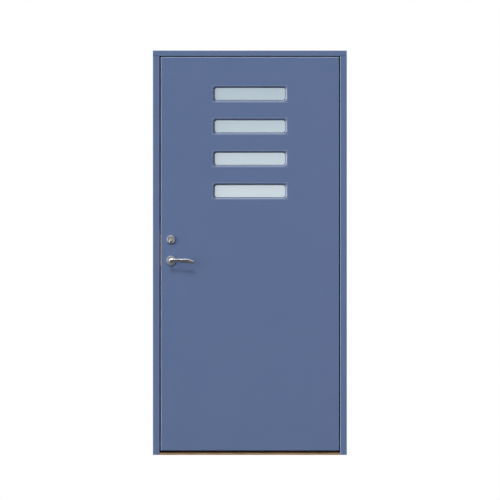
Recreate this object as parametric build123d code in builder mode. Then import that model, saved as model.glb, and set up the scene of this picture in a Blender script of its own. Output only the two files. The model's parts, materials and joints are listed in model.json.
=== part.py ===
from build123d import *
import os

os.makedirs("parts", exist_ok=True)

# An outward-opening entrance door: a flush leaf with four small windows in a
# rebated frame on an oak threshold. Millimetres. X runs to the right seen from
# outside, Y runs into the building and Z runs up. The origin is on the floor
# under the middle of the frame.

# Frame.
frame_width = 995.0
frame_height = 2075.0
frame_depth = 105.0
jamb_face = 34.5
head_face = 28.0
stop_lap = 18.0
frame_round = 3.0

# Threshold.
nose_height = 12.0
nose_round = 3.0
sill_rise = 2.0
upstand_height = 32.0
back_slope_run = 16.0
back_slope_drop = 8.0

# Leaf and the gaps round it.
leaf_thickness = 62.0
lock_gap = 6.5
hinge_gap = 5.5
top_gap = 5.0
sill_gap = 10.0
seal_space = 6.0
facing = 4.0
leaf_round = 2.9
lock_bevel = 3.0
lock_stile_width = 110.0
hinge_stile_width = 90.0
top_rail_height = 100.0
bottom_rail_height = 160.0

# Windows.
window_count = 4
window_width = 379.0
window_height = 80.0
window_radius = 17.0
window_margin = 150.0
window_pitch = 166.3
trim_land = 4.0
trim_depth = 8.0
trim_fit = 0.2
pane = 4.0
glass_margin = 2.0
spacer_width = 6.0

# Seals.
seal_width = 10.0
seal_slack = 0.6
seal_corner = 2.0

# Lock and handle.
backset = 52.0
lever_height = 997.0
cylinder_above_lever = 108.0
rose_radius = 24.5
rose_thickness = 9.0
neck_radius = 8.5
neck_start = 1.0
running_fit = 0.1
lever_reach = 50.0
lever_length = 121.0
lever_root = 10.3
lever_half_depth = 6.0
lever_edge = 1.6
spindle_side = 8.0
spindle_socket = 22.0
socket_fit = 0.2
spindle_hole = 18.0
ring_radius = 23.0
ring_top_radius = 20.5
ring_height = 11.0
cylinder_radius = 9.3
cylinder_rise = 5.5
plug_drop = 9.5
cylinder_hole = 21.5
cylinder_length = 46.0
plug_radius = 7.2
plug_proud = 1.0
plug_length = 20.0
keyway_width = 2.4
keyway_height = 9.0
keyway_depth = 8.0
turn_radius = 10.0
turn_collar = 5.0
turn_grip_length = 34.0
turn_grip_width = 11.0
turn_grip_height = 15.0
turn_grip_corner = 3.0
part_fit = 0.2

# Lock edge plate, bolts and strike.
plate_height = 160.0
plate_face_width = 7.0
plate_edge_width = 24.0
plate_thickness = 2.0
plate_proud_edge = 1.0
plate_proud_face = 0.5
bolt_thickness = 12.0
latch_height = 28.0
latch_above_lever = 6.0
latch_bevel = 6.0
dead_bolt_height = 36.0
dead_bolt_above_lever = 76.0
bolt_length = 30.0
strike_height = 210.0
strike_width = 26.0
strike_pocket = 16.0
strike_play = 4.0

# Concealed hinges. Four pivots form a rhombus whose open corner is the line on
# which the leaf turns, so both sets of links keep to the leaf's angle.
hinge_count = 3
hinge_spread = 790.0
axis_lead = 2.0
link_side = 15.0
link_depth = 25.0
link_radius = 5.0
link_sides = 12
pin_radius = 3.0
link_length = 42.0
link_play = 0.5
cup_height = 110.0
cup_corner = 7.0
cup_end = 5.0
cup_wall = 1.5
cup_back = 2.0
pocket_front = 7.0
pocket_length = 47.5
pocket_corner = 4.0

# Frame fixings: sleeve holes through both jambs.
fixing_radius = 7.0
fixing_inset = 36.0
fixing_end = 135.5
fixing_step = 512.0

# Faces that follow from the sizes above.
front = -frame_depth / 2
back = frame_depth / 2
jamb_in = frame_width / 2 - jamb_face
stop_in = jamb_in - stop_lap
jamb_top = frame_height - head_face
leaf_back = front + leaf_thickness
stop_face = leaf_back + seal_space
leaf_left = -jamb_in + lock_gap
leaf_right = jamb_in - hinge_gap
leaf_width = leaf_right - leaf_left
leaf_bottom = nose_height + sill_gap
leaf_top = jamb_top - top_gap
leaf_height = leaf_top - leaf_bottom
leaf_mid_x = (leaf_left + leaf_right) / 2
leaf_mid_z = (leaf_bottom + leaf_top) / 2
core_front = front + facing
core_back = leaf_back - facing
core_left = leaf_left + lock_stile_width
core_right = leaf_right - hinge_stile_width
core_bottom = leaf_bottom + bottom_rail_height
core_top = leaf_top - top_rail_height
bevel_slope = lock_bevel / leaf_thickness
lever_x = leaf_left + backset
cylinder_height = lever_height + cylinder_above_lever
plate_mid = lever_height + cylinder_above_lever / 2
latch_z = lever_height + latch_above_lever
dead_bolt_z = lever_height + dead_bolt_above_lever
bolt_y = front + plate_edge_width / 2 + plate_thickness
window_x = leaf_mid_x
insert_width = window_width + 2 * trim_land
insert_height = window_height + 2 * trim_land
first_window = leaf_top - window_margin - window_height / 2
windows = [first_window - window_pitch * i for i in range(window_count)]
turning_x = jamb_in - hinge_gap / 2
turning_y = front - axis_lead
pivot_y = turning_y + link_depth
frame_pivot_x = turning_x + link_side
leaf_pivot_x = turning_x - link_side
cross_y = turning_y + 2 * link_depth
hinges = [leaf_mid_z + hinge_spread * (i - (hinge_count - 1) / 2) for i in range(hinge_count)]
pocket_depth = link_side - hinge_gap / 2 + link_radius + 0.8
pocket_mid_y = front + pocket_front + pocket_length / 2
pocket_height = cup_height - 2 * cup_end
cup_length = pocket_length + 2 * cup_wall
cup_depth = pocket_depth + cup_back
fixing_y = front + fixing_inset
fixings = [
    fixing_end,
    fixing_end + fixing_step,
    frame_height - fixing_end - fixing_step,
    frame_height - fixing_end,
]
seal_front = leaf_back + seal_slack
outside = Plane.XZ.offset(-front)
inside = Plane.XZ.offset(-leaf_back)

# Jambs: a post on each side with a stop planted behind the leaf. The lock jamb is on the left.
with BuildPart() as lock_jamb:
    with BuildSketch(Plane.XY) as lock_profile:
        with Locations((-(frame_width / 2 + jamb_in) / 2, 0)):
            Rectangle(jamb_face, frame_depth)
        fillet(lock_profile.vertices().group_by(Axis.Y)[0], radius=frame_round)
    extrude(amount=jamb_top)
    with BuildSketch(Plane.YZ.offset(-frame_width / 2)):
        with Locations(*[(fixing_y, z) for z in fixings]):
            Circle(fixing_radius)
    extrude(amount=jamb_face, mode=Mode.SUBTRACT)
    with BuildSketch(Plane.YZ.offset(-jamb_in)):
        with Locations((bolt_y, plate_mid)):
            Rectangle(strike_width + part_fit, strike_height + part_fit)
    extrude(amount=-plate_thickness, mode=Mode.SUBTRACT)
    with BuildSketch(Plane.YZ.offset(-jamb_in)):
        with Locations((bolt_y, latch_z)):
            Rectangle(bolt_thickness + strike_play, latch_height + strike_play)
        with Locations((bolt_y, dead_bolt_z)):
            Rectangle(bolt_thickness + strike_play, dead_bolt_height + strike_play)
    extrude(amount=-strike_pocket, mode=Mode.SUBTRACT)
lock_jamb.part.label = "lock_jamb"
export_step(lock_jamb.part, "parts/lock_jamb.step")

with BuildPart() as hinge_jamb:
    with BuildSketch(Plane.XY) as hinge_profile:
        with Locations(((frame_width / 2 + jamb_in) / 2, 0)):
            Rectangle(jamb_face, frame_depth)
        fillet(hinge_profile.vertices().group_by(Axis.Y)[0], radius=frame_round)
    extrude(amount=jamb_top)
    with BuildSketch(Plane.YZ.offset(frame_width / 2)):
        with Locations(*[(fixing_y, z) for z in fixings]):
            Circle(fixing_radius)
    extrude(amount=-jamb_face, mode=Mode.SUBTRACT)
    with BuildSketch(Plane.YZ.offset(jamb_in)) as hinge_pockets:
        with Locations(*[(pocket_mid_y, z) for z in hinges]):
            Rectangle(cup_length + part_fit, cup_height + part_fit)
        chamfer(hinge_pockets.vertices(), length=cup_corner)
    extrude(amount=cup_depth + part_fit, mode=Mode.SUBTRACT)
hinge_jamb.part.label = "hinge_jamb"
export_step(hinge_jamb.part, "parts/hinge_jamb.step")

for name, side in (("lock_stop", -1), ("hinge_stop", 1)):
    with BuildPart() as stop:
        with BuildSketch(Plane.XY):
            with Locations((side * (jamb_in + stop_in) / 2, (stop_face + back) / 2)):
                Rectangle(stop_lap, back - stop_face)
        extrude(amount=jamb_top)
    stop.part.label = name
    export_step(stop.part, f"parts/{name}.step")

# Head: runs over both jambs, its stop fits between their stops.
with BuildPart() as frame_head:
    with BuildSketch(Plane.YZ.offset(-frame_width / 2)) as head_profile:
        with Locations((0, frame_height - head_face / 2)):
            Rectangle(frame_depth, head_face)
        front_edges = head_profile.vertices().group_by(Axis.X)[0]
        fillet(front_edges, radius=frame_round)
    extrude(amount=frame_width)
    with BuildSketch(Plane.YZ.offset(-stop_in)):
        with Locations(((stop_face + back) / 2, jamb_top - stop_lap / 2)):
            Rectangle(back - stop_face, stop_lap)
    extrude(amount=2 * stop_in)
frame_head.part.label = "frame_head"
export_step(frame_head.part, "parts/frame_head.step")

# Threshold: a low nose under the leaf, an upstand behind it, a sloped back.
with BuildPart() as threshold:
    with BuildSketch(Plane.YZ.offset(-jamb_in)) as nose_profile:
        with BuildLine():
            Polyline(
                (front, 0),
                (stop_face, 0),
                (stop_face, nose_height + sill_rise),
                (front, nose_height),
                close=True,
            )
        make_face()
        nose_edge = nose_profile.vertices().sort_by_distance((front, nose_height, 0))[0]
        fillet(nose_edge, radius=nose_round)
    extrude(amount=2 * jamb_in)
    with BuildSketch(Plane.YZ.offset(-stop_in)) as upstand_profile:
        with BuildLine():
            Polyline(
                (stop_face, 0),
                (back, 0),
                (back, upstand_height - back_slope_drop),
                (back - back_slope_run, upstand_height),
                (stop_face, upstand_height),
                close=True,
            )
        make_face()
        upper = upstand_profile.vertices().sort_by_distance((stop_face, upstand_height, 0))[0]
        fillet(upper, radius=nose_round / 2)
    extrude(amount=2 * stop_in)
threshold.part.label = "threshold"
export_step(threshold.part, "parts/threshold.step")

# Seals in the corner of the rebate, a little clear of the closed leaf.
for name, side in (("lock_jamb_seal", -1), ("hinge_jamb_seal", 1)):
    with BuildPart() as jamb_seal:
        with BuildSketch(Plane.XY.offset(nose_height + 2 * sill_rise)) as strip:
            with Locations((side * (jamb_in - seal_width / 2), (seal_front + stop_face) / 2)):
                Rectangle(seal_width, stop_face - seal_front)
            chamfer(strip.vertices().group_by(Axis.Y)[0], length=seal_corner)
        extrude(amount=jamb_top - nose_height - 2 * sill_rise)
    jamb_seal.part.label = name
    export_step(jamb_seal.part, f"parts/{name}.step")

cross_seal_half = jamb_in - seal_width - part_fit
with BuildPart() as head_seal:
    with BuildSketch(Plane.YZ.offset(-cross_seal_half)) as strip:
        with Locations(((seal_front + stop_face) / 2, jamb_top - seal_width / 2)):
            Rectangle(stop_face - seal_front, seal_width)
        chamfer(strip.vertices().group_by(Axis.X)[0], length=seal_corner)
    extrude(amount=2 * cross_seal_half)
head_seal.part.label = "head_seal"
export_step(head_seal.part, "parts/head_seal.step")

sill_seal_height = upstand_height - leaf_bottom - nose_round
with BuildPart() as threshold_seal:
    with BuildSketch(Plane.YZ.offset(-stop_in)) as strip:
        with Locations(((seal_front + stop_face) / 2, leaf_bottom + sill_seal_height / 2)):
            Rectangle(stop_face - seal_front, sill_seal_height)
        chamfer(strip.vertices().group_by(Axis.X)[0], length=seal_corner)
    extrude(amount=2 * stop_in)
threshold_seal.part.label = "threshold_seal"
export_step(threshold_seal.part, "parts/threshold_seal.step")

# Strike plate let in flush with the lock jamb.
with BuildPart() as strike_plate:
    with BuildSketch(Plane.YZ.offset(-jamb_in)):
        with Locations((bolt_y, plate_mid)):
            Rectangle(strike_width, strike_height)
        with Locations((bolt_y, latch_z)):
            Rectangle(bolt_thickness + strike_play, latch_height + strike_play, mode=Mode.SUBTRACT)
        with Locations((bolt_y, dead_bolt_z)):
            Rectangle(bolt_thickness + strike_play, dead_bolt_height + strike_play, mode=Mode.SUBTRACT)
    extrude(amount=-plate_thickness)
strike_plate.part.label = "strike_plate"
export_step(strike_plate.part, "parts/strike_plate.step")

# Hinge cups: let into the jamb and into the leaf's edge, each with its pin.
for name, face_x, way, pivot_x in (
    ("hinge_frame_cups", jamb_in, 1, frame_pivot_x),
    ("hinge_leaf_cups", leaf_right, -1, leaf_pivot_x),
):
    with BuildPart() as cups:
        with BuildSketch(Plane.YZ.offset(face_x)) as cup_outline:
            with Locations(*[(pocket_mid_y, z) for z in hinges]):
                Rectangle(cup_length, cup_height)
            chamfer(cup_outline.vertices(), length=cup_corner)
        extrude(amount=way * cup_depth)
        with BuildSketch(Plane.YZ.offset(face_x)) as cup_hollow:
            with Locations(*[(pocket_mid_y, z) for z in hinges]):
                Rectangle(pocket_length, pocket_height)
            chamfer(cup_hollow.vertices(), length=pocket_corner)
        extrude(amount=way * pocket_depth, mode=Mode.SUBTRACT)
        for z in hinges:
            with BuildSketch(Plane.XY.offset(z - pocket_height / 2)):
                with Locations((pivot_x, pivot_y)):
                    Circle(pin_radius)
            extrude(amount=pocket_height)
    cups.part.label = name
    export_step(cups.part, f"parts/{name}.step")

# Links that turn on the jamb's pins: one arm per hinge, which carries the crossing pin.
with BuildPart() as frame_links:
    for z in hinges:
        with BuildSketch(Plane.XY.offset(z + link_play)):
            with Locations((frame_pivot_x, pivot_y), (turning_x, cross_y)):
                RegularPolygon(link_radius, link_sides)
            make_hull()
            with Locations((frame_pivot_x, pivot_y)):
                Circle(pin_radius + running_fit, mode=Mode.SUBTRACT)
        extrude(amount=link_length)
        with BuildSketch(Plane.XY.offset(z - link_play - link_length)):
            with Locations((turning_x, cross_y)):
                Circle(pin_radius)
        extrude(amount=link_length + 2 * link_play)
frame_links.part.label = "hinge_frame_links"
export_step(frame_links.part, "parts/hinge_frame_links.step")

# Links that turn on the leaf's pins, below the first ones.
with BuildPart() as leaf_links:
    for z in hinges:
        with BuildSketch(Plane.XY.offset(z - link_play - link_length)):
            with Locations((leaf_pivot_x, pivot_y), (turning_x, cross_y)):
                RegularPolygon(link_radius, link_sides)
            make_hull()
            with Locations((leaf_pivot_x, pivot_y), (turning_x, cross_y)):
                Circle(pin_radius + running_fit, mode=Mode.SUBTRACT)
        extrude(amount=link_length)
leaf_links.part.label = "hinge_leaf_links"
export_step(leaf_links.part, "parts/hinge_leaf_links.step")

# Facings: thin boards with the window openings, the outer one rounded at its rim.
with BuildPart() as outer_facing:
    with BuildSketch(outside):
        with Locations((leaf_mid_x, leaf_mid_z)):
            Rectangle(leaf_width, leaf_height)
    extrude(amount=-facing)
    fillet(outer_facing.faces().sort_by(Axis.Y)[0].outer_wire().edges(), radius=leaf_round)
    with BuildSketch(outside):
        with Locations(*[(window_x, z) for z in windows]):
            Rectangle(insert_width, insert_height)
        with Locations((lever_x, lever_height)):
            Rectangle(spindle_hole, spindle_hole)
        with Locations((lever_x, cylinder_height)):
            Circle(cylinder_hole)
    extrude(amount=-facing, mode=Mode.SUBTRACT)
    with BuildSketch(outside):
        with Locations((leaf_left - plate_proud_edge + plate_face_width / 2, plate_mid)):
            Rectangle(plate_face_width + 2 * part_fit, plate_height + 2 * part_fit)
    extrude(amount=-plate_thickness + plate_proud_face, mode=Mode.SUBTRACT)
    with BuildSketch(outside):
        with Locations((leaf_left, plate_mid)):
            Rectangle(2 * (plate_thickness - plate_proud_edge), plate_height + 2 * part_fit)
    extrude(amount=-facing, mode=Mode.SUBTRACT)
outer_facing.part.label = "outer_facing"
export_step(outer_facing.part, "parts/outer_facing.step")

with BuildPart() as inner_facing:
    with BuildSketch(inside):
        with Locations((leaf_mid_x + lock_bevel / 2, leaf_mid_z)):
            Rectangle(leaf_width - lock_bevel, leaf_height)
        with Locations(*[(window_x, z) for z in windows]):
            Rectangle(insert_width, insert_height, mode=Mode.SUBTRACT)
        with Locations((lever_x, lever_height)):
            Rectangle(spindle_hole, spindle_hole, mode=Mode.SUBTRACT)
    extrude(amount=facing)
    fillet(inner_facing.faces().sort_by(Axis.Y)[-1].outer_wire().edges(), radius=frame_round)
inner_facing.part.label = "inner_facing"
export_step(inner_facing.part, "parts/inner_facing.step")

# Stiles and rails between the facings. The lock edge is bevelled to swing clear.
with BuildPart() as lock_stile:
    with BuildSketch(Plane.XY.offset(leaf_bottom)):
        with BuildLine():
            Polyline(
                (leaf_left + bevel_slope * facing, core_front),
                (core_left, core_front),
                (core_left, core_back),
                (leaf_left + bevel_slope * (leaf_thickness - facing), core_back),
                close=True,
            )
        make_face()
    extrude(amount=leaf_height)
    with BuildSketch(outside):
        with Locations((lever_x, lever_height)):
            Rectangle(spindle_hole, spindle_hole)
        with Locations((lever_x, cylinder_height)):
            Circle(cylinder_hole)
    extrude(amount=-leaf_thickness, mode=Mode.SUBTRACT)
    with BuildSketch(outside):
        with Locations((leaf_left, plate_mid)):
            Rectangle(2 * (plate_thickness - plate_proud_edge), plate_height + 2 * part_fit)
    extrude(amount=-plate_edge_width - part_fit, mode=Mode.SUBTRACT)
    with BuildSketch(Plane.YZ.offset(leaf_left)):
        with Locations((bolt_y, latch_z)):
            Rectangle(bolt_thickness + 2 * part_fit, latch_height + 2 * part_fit)
        with Locations((bolt_y, dead_bolt_z)):
            Rectangle(bolt_thickness + 2 * part_fit, dead_bolt_height + 2 * part_fit)
    extrude(amount=bolt_length, mode=Mode.SUBTRACT)
lock_stile.part.label = "lock_stile"
export_step(lock_stile.part, "parts/lock_stile.step")

with BuildPart() as hinge_stile:
    with BuildSketch(Plane.XY.offset(leaf_bottom)):
        with Locations(((core_right + leaf_right) / 2, (core_front + core_back) / 2)):
            Rectangle(hinge_stile_width, core_back - core_front)
    extrude(amount=leaf_height)
    with BuildSketch(Plane.YZ.offset(leaf_right)) as hinge_pockets:
        with Locations(*[(pocket_mid_y, z) for z in hinges]):
            Rectangle(cup_length + part_fit, cup_height + part_fit)
        chamfer(hinge_pockets.vertices(), length=cup_corner)
    extrude(amount=-cup_depth - part_fit, mode=Mode.SUBTRACT)
hinge_stile.part.label = "hinge_stile"
export_step(hinge_stile.part, "parts/hinge_stile.step")

for name, low, high in (
    ("bottom_rail", leaf_bottom, core_bottom),
    ("top_rail", core_top, leaf_top),
):
    with BuildPart() as rail:
        with BuildSketch(Plane.XY.offset(low)):
            with Locations(((core_left + core_right) / 2, (core_front + core_back) / 2)):
                Rectangle(core_right - core_left, core_back - core_front)
        extrude(amount=high - low)
    rail.part.label = name
    export_step(rail.part, f"parts/{name}.step")

with BuildPart() as insulation_core:
    with BuildSketch(Plane.XZ.offset(-core_front)):
        with Locations(((core_left + core_right) / 2, (core_bottom + core_top) / 2)):
            Rectangle(core_right - core_left, core_top - core_bottom)
        with Locations(*[(window_x, z) for z in windows]):
            Rectangle(insert_width, insert_height, mode=Mode.SUBTRACT)
    extrude(amount=-(core_back - core_front))
insulation_core.part.label = "insulation_core"
export_step(insulation_core.part, "parts/insulation_core.step")

# Windows: a trim let into each facing, with a bevelled mouth, and three panes between them.
trim_taper = 45
for index, z in enumerate(windows, start=1):
    with BuildPart() as trims:
        for face_y, into in ((front, 1), (leaf_back, -1)):
            with BuildSketch(Plane.XZ.offset(-face_y)):
                with Locations((window_x, z)):
                    Rectangle(insert_width - 2 * trim_fit, insert_height - 2 * trim_fit)
            extrude(amount=-into * trim_depth)
            with BuildSketch(Plane.XZ.offset(-face_y)):
                with Locations((window_x, z)):
                    RectangleRounded(window_width, window_height, window_radius)
            extrude(amount=-into * trim_depth, taper=trim_taper, mode=Mode.SUBTRACT)
    trims.part.label = f"window_{index}_trims"
    export_step(trims.part, f"parts/window_{index}_trims.step")

glass_width = insert_width - 2 * glass_margin
glass_height = insert_height - 2 * glass_margin
cavity = (leaf_thickness - 2 * trim_depth - 3 * pane) / 2
for index, z in enumerate(windows, start=1):
    with BuildPart() as glass:
        for layer in range(3):
            with BuildSketch(Plane.XZ.offset(-front - trim_depth - layer * (pane + cavity))):
                with Locations((window_x, z)):
                    Rectangle(glass_width, glass_height)
            extrude(amount=-pane)
    glass.part.label = f"window_{index}_glass"
    export_step(glass.part, f"parts/window_{index}_glass.step")

with BuildPart() as glass_spacers:
    for z in windows:
        for layer in range(2):
            spacer_y = front + trim_depth + pane + layer * (pane + cavity)
            with BuildSketch(Plane.XZ.offset(-spacer_y)):
                with Locations((window_x, z)):
                    Rectangle(glass_width, glass_height)
                    Rectangle(
                        glass_width - 2 * spacer_width,
                        glass_height - 2 * spacer_width,
                        mode=Mode.SUBTRACT,
                    )
            extrude(amount=-cavity)
glass_spacers.part.label = "glass_spacers"
export_step(glass_spacers.part, "parts/glass_spacers.step")

# Lock edge plate: an angle over the leaf's corner, with holes for the bolts.
with BuildPart() as lock_edge_plate:
    plate_left = leaf_left - plate_proud_edge
    plate_front = front - plate_proud_face
    with BuildSketch(Plane.XY.offset(plate_mid - plate_height / 2)) as angle:
        with BuildLine():
            Polyline(
                (plate_left, plate_front),
                (plate_left + plate_face_width, plate_front),
                (plate_left + plate_face_width, plate_front + plate_thickness),
                (plate_left + plate_thickness, plate_front + plate_thickness),
                (plate_left + plate_thickness, front + plate_edge_width),
                (plate_left, front + plate_edge_width),
                close=True,
            )
        make_face()
        corner = angle.vertices().sort_by_distance((plate_left, plate_front, 0))[0]
        fillet(corner, radius=plate_proud_edge)
    extrude(amount=plate_height)
    with BuildSketch(Plane.YZ.offset(plate_left)):
        with Locations((bolt_y, latch_z)):
            Rectangle(bolt_thickness + 2 * part_fit, latch_height + 2 * part_fit)
        with Locations((bolt_y, dead_bolt_z)):
            Rectangle(bolt_thickness + 2 * part_fit, dead_bolt_height + 2 * part_fit)
    extrude(amount=plate_thickness, mode=Mode.SUBTRACT)
lock_edge_plate.part.label = "lock_edge_plate"
export_step(lock_edge_plate.part, "parts/lock_edge_plate.step")

# Bolts, drawn back flush with the plate. The latch is bevelled on its closing side.
with BuildPart() as latch_bolt:
    with BuildSketch(Plane.XY.offset(latch_z - latch_height / 2)):
        with BuildLine():
            Polyline(
                (leaf_left - plate_proud_edge, bolt_y - bolt_thickness / 2),
                (leaf_left + bolt_length - part_fit, bolt_y - bolt_thickness / 2),
                (leaf_left + bolt_length - part_fit, bolt_y + bolt_thickness / 2),
                (leaf_left - plate_proud_edge + latch_bevel, bolt_y + bolt_thickness / 2),
                close=True,
            )
        make_face()
    extrude(amount=latch_height)
latch_bolt.part.label = "latch_bolt"
export_step(latch_bolt.part, "parts/latch_bolt.step")

with BuildPart() as dead_bolt:
    with BuildSketch(Plane.YZ.offset(leaf_left - plate_proud_edge)):
        with Locations((bolt_y, dead_bolt_z)):
            Rectangle(bolt_thickness, dead_bolt_height)
    extrude(amount=bolt_length + plate_proud_edge - part_fit)
dead_bolt.part.label = "dead_bolt"
export_step(dead_bolt.part, "parts/dead_bolt.step")

# Handle set: a lever on each side, on one square spindle.
# Corners of the grip as shares of the lever's length: along, up, radius.
grip = (
    (0.000, 0.0810, 0.0),
    (0.702, 0.0942, 0.207),
    (1.010, -0.0595, 0.025),
    (0.979, -0.1207, 0.025),
    (0.653, -0.1207, 0.330),
    (0.364, -0.0562, 0.413),
    (0.000, -0.0612, 0.0),
)
grip_corners = [(along * lever_length, up * lever_length) for along, up, radius in grip]
grip_radii = [radius * lever_length for along, up, radius in grip]
for side_name, face_y, out in (("outer", front, -1), ("inner", leaf_back, 1)):
    bar_y = face_y + out * lever_reach
    neck_y = face_y + out * neck_start
    with BuildPart() as lever:
        grip_plane = Plane((lever_x, bar_y, lever_height), x_dir=(1, 0, 0), z_dir=(0, -1, 0))
        with BuildSketch(grip_plane) as grip_outline:
            with BuildLine():
                Polyline(*grip_corners, close=True)
            make_face()
            for corner, radius in zip(grip_corners[1:-1], grip_radii[1:-1]):
                fillet(grip_outline.vertices().sort_by_distance(corner)[0], radius=radius)
        extrude(amount=lever_half_depth, both=True)
        chamfer(lever.faces().filter_by(Axis.Y).edges(), length=lever_edge)
        with BuildSketch(Plane.XZ.offset(-neck_y)):
            with Locations((lever_x, lever_height)):
                Circle(neck_radius)
        extrude(amount=-out * (lever_reach - neck_start))
        with BuildSketch(Plane.XZ.offset(-bar_y)):
            with Locations((lever_x, lever_height)):
                Circle(lever_root)
        extrude(amount=lever_half_depth, both=True)
        with BuildSketch(Plane.XZ.offset(-neck_y)):
            with Locations((lever_x, lever_height)):
                Rectangle(spindle_side + socket_fit, spindle_side + socket_fit)
        extrude(amount=-out * spindle_socket, mode=Mode.SUBTRACT)
    lever.part.label = f"{side_name}_lever"
    export_step(lever.part, f"parts/{side_name}_lever.step")

with BuildPart() as spindle:
    with BuildSketch(Plane.XZ.offset(-front + spindle_socket)):
        with Locations((lever_x, lever_height)):
            Rectangle(spindle_side, spindle_side)
    extrude(amount=-leaf_thickness - 2 * spindle_socket)
spindle.part.label = "spindle"
export_step(spindle.part, "parts/spindle.step")

# Roses outside: one for the lever, and a conical ring round the oval lock cylinder.
plug_z = cylinder_height - plug_drop
upper_z = cylinder_height + cylinder_rise
with BuildPart() as outer_roses:
    with BuildSketch(outside):
        with Locations((lever_x, lever_height)):
            Circle(rose_radius)
            Circle(neck_radius + running_fit, mode=Mode.SUBTRACT)
    extrude(amount=rose_thickness)
    with BuildSketch(outside):
        with Locations((lever_x, cylinder_height)):
            Circle(ring_radius)
    with BuildSketch(Plane.XZ.offset(-front + ring_height)):
        with Locations((lever_x, cylinder_height)):
            Circle(ring_top_radius)
    loft(ruled=True)
    with BuildSketch(outside):
        with Locations((lever_x, plug_z), (lever_x, upper_z)):
            Circle(cylinder_radius + part_fit)
        make_hull()
    extrude(amount=ring_height, mode=Mode.SUBTRACT)
outer_roses.part.label = "outer_roses"
export_step(outer_roses.part, "parts/outer_roses.step")

# Roses inside: one for the lever and one for the thumb turn, in line with the cylinder.
with BuildPart() as inner_roses:
    with BuildSketch(inside):
        with Locations((lever_x, lever_height)):
            Circle(rose_radius)
            Circle(neck_radius + running_fit, mode=Mode.SUBTRACT)
        with Locations((lever_x, cylinder_height)):
            Circle(ring_radius)
    extrude(amount=-rose_thickness)
inner_roses.part.label = "inner_roses"
export_step(inner_roses.part, "parts/inner_roses.step")

with BuildPart() as lock_cylinder:
    with BuildSketch(Plane.XZ.offset(-front + ring_height)):
        with Locations((lever_x, plug_z), (lever_x, upper_z)):
            Circle(cylinder_radius)
        make_hull()
        with Locations((lever_x, plug_z)):
            Circle(plug_radius + part_fit, mode=Mode.SUBTRACT)
    extrude(amount=-cylinder_length)
lock_cylinder.part.label = "lock_cylinder"
export_step(lock_cylinder.part, "parts/lock_cylinder.step")

with BuildPart() as key_plug:
    with BuildSketch(Plane.XZ.offset(-front + ring_height + plug_proud)):
        with Locations((lever_x, plug_z)):
            Circle(plug_radius)
    extrude(amount=-plug_length)
    with BuildSketch(Plane.XZ.offset(-front + ring_height + plug_proud)):
        with Locations((lever_x, plug_z)):
            Rectangle(keyway_width, keyway_height)
    extrude(amount=-keyway_depth, mode=Mode.SUBTRACT)
key_plug.part.label = "key_plug"
export_step(key_plug.part, "parts/key_plug.step")

# Thumb turn on the inner rose.
with BuildPart() as thumb_turn:
    with BuildSketch(Plane.XZ.offset(-leaf_back - rose_thickness)):
        with Locations((lever_x, cylinder_height)):
            Circle(turn_radius)
    extrude(amount=-turn_collar)
    with BuildSketch(Plane.XZ.offset(-leaf_back - rose_thickness - turn_collar)) as turn_outline:
        with Locations((lever_x, cylinder_height)):
            Rectangle(turn_grip_width, turn_grip_length)
        chamfer(turn_outline.vertices(), length=turn_grip_corner)
    extrude(amount=-turn_grip_height)
thumb_turn.part.label = "thumb_turn"
export_step(thumb_turn.part, "parts/thumb_turn.step")
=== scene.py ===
import json
import math

import bmesh
import bpy
import numpy as np
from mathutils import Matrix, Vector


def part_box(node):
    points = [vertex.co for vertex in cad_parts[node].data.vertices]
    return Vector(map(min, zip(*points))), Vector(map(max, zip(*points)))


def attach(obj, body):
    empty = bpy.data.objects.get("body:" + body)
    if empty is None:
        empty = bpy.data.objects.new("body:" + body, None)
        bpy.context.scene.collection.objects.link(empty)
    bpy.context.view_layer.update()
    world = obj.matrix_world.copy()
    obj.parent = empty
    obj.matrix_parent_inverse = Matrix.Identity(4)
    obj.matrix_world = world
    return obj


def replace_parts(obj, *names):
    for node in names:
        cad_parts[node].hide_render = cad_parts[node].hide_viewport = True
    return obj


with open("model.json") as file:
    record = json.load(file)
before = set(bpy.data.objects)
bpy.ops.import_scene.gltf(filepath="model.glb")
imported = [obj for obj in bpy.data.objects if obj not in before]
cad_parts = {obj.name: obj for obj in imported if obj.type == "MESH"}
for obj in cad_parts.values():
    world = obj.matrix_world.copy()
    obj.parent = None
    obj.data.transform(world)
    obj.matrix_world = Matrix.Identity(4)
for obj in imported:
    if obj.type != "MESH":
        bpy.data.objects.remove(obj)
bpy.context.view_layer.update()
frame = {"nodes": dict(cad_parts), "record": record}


# Frame: two posts, their stops and the head, planed softwood that is sprayed with a
# satin blue-grey finish. The head lies on the posts and is screwed down. The front
# arris round the doorway is rubbed a little pale, which is wear and also a painted
# highlight on its rounding.

def feed(tree, sockets, values):
    """Sets input sockets by name or number: a fixed value, or a link from an output."""
    for key, value in values.items():
        if isinstance(value, bpy.types.NodeSocket):
            tree.links.new(value, sockets[key])
        else:
            sockets[key].default_value = value


def add(tree, kind, inputs, **settings):
    """Puts a shader node into a tree: its own settings first, then its input sockets."""
    made = tree.nodes.new(kind)
    for key, value in settings.items():
        setattr(made, key, value)
    feed(tree, made.inputs, inputs)
    return made


def start_group(name, takes, gives):
    """An empty shader node group with named sockets, and the sockets of its two ends."""
    tree = bpy.data.node_groups.new(name, "ShaderNodeTree")
    for way, labels in (("INPUT", takes), ("OUTPUT", gives)):
        for label, kind in labels.items():
            tree.interface.new_socket(label, in_out=way, socket_type="NodeSocket" + kind)
    return tree, tree.nodes.new("NodeGroupInput").outputs, tree.nodes.new("NodeGroupOutput").inputs


def reckon(tree, operation, *values):
    """What a Math node makes of the values, taken in their order."""
    return add(tree, "ShaderNodeMath", dict(enumerate(values)), operation=operation).outputs[0]


def speckle(tree, place, scale, detail, roughness=0.5):
    """Noise over the place, from 0 to 1."""
    values = {"Vector": place, "Scale": scale, "Detail": detail, "Roughness": roughness}
    return add(tree, "ShaderNodeTexNoise", values).outputs["Fac"]


noise_middle = 0.5


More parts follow.
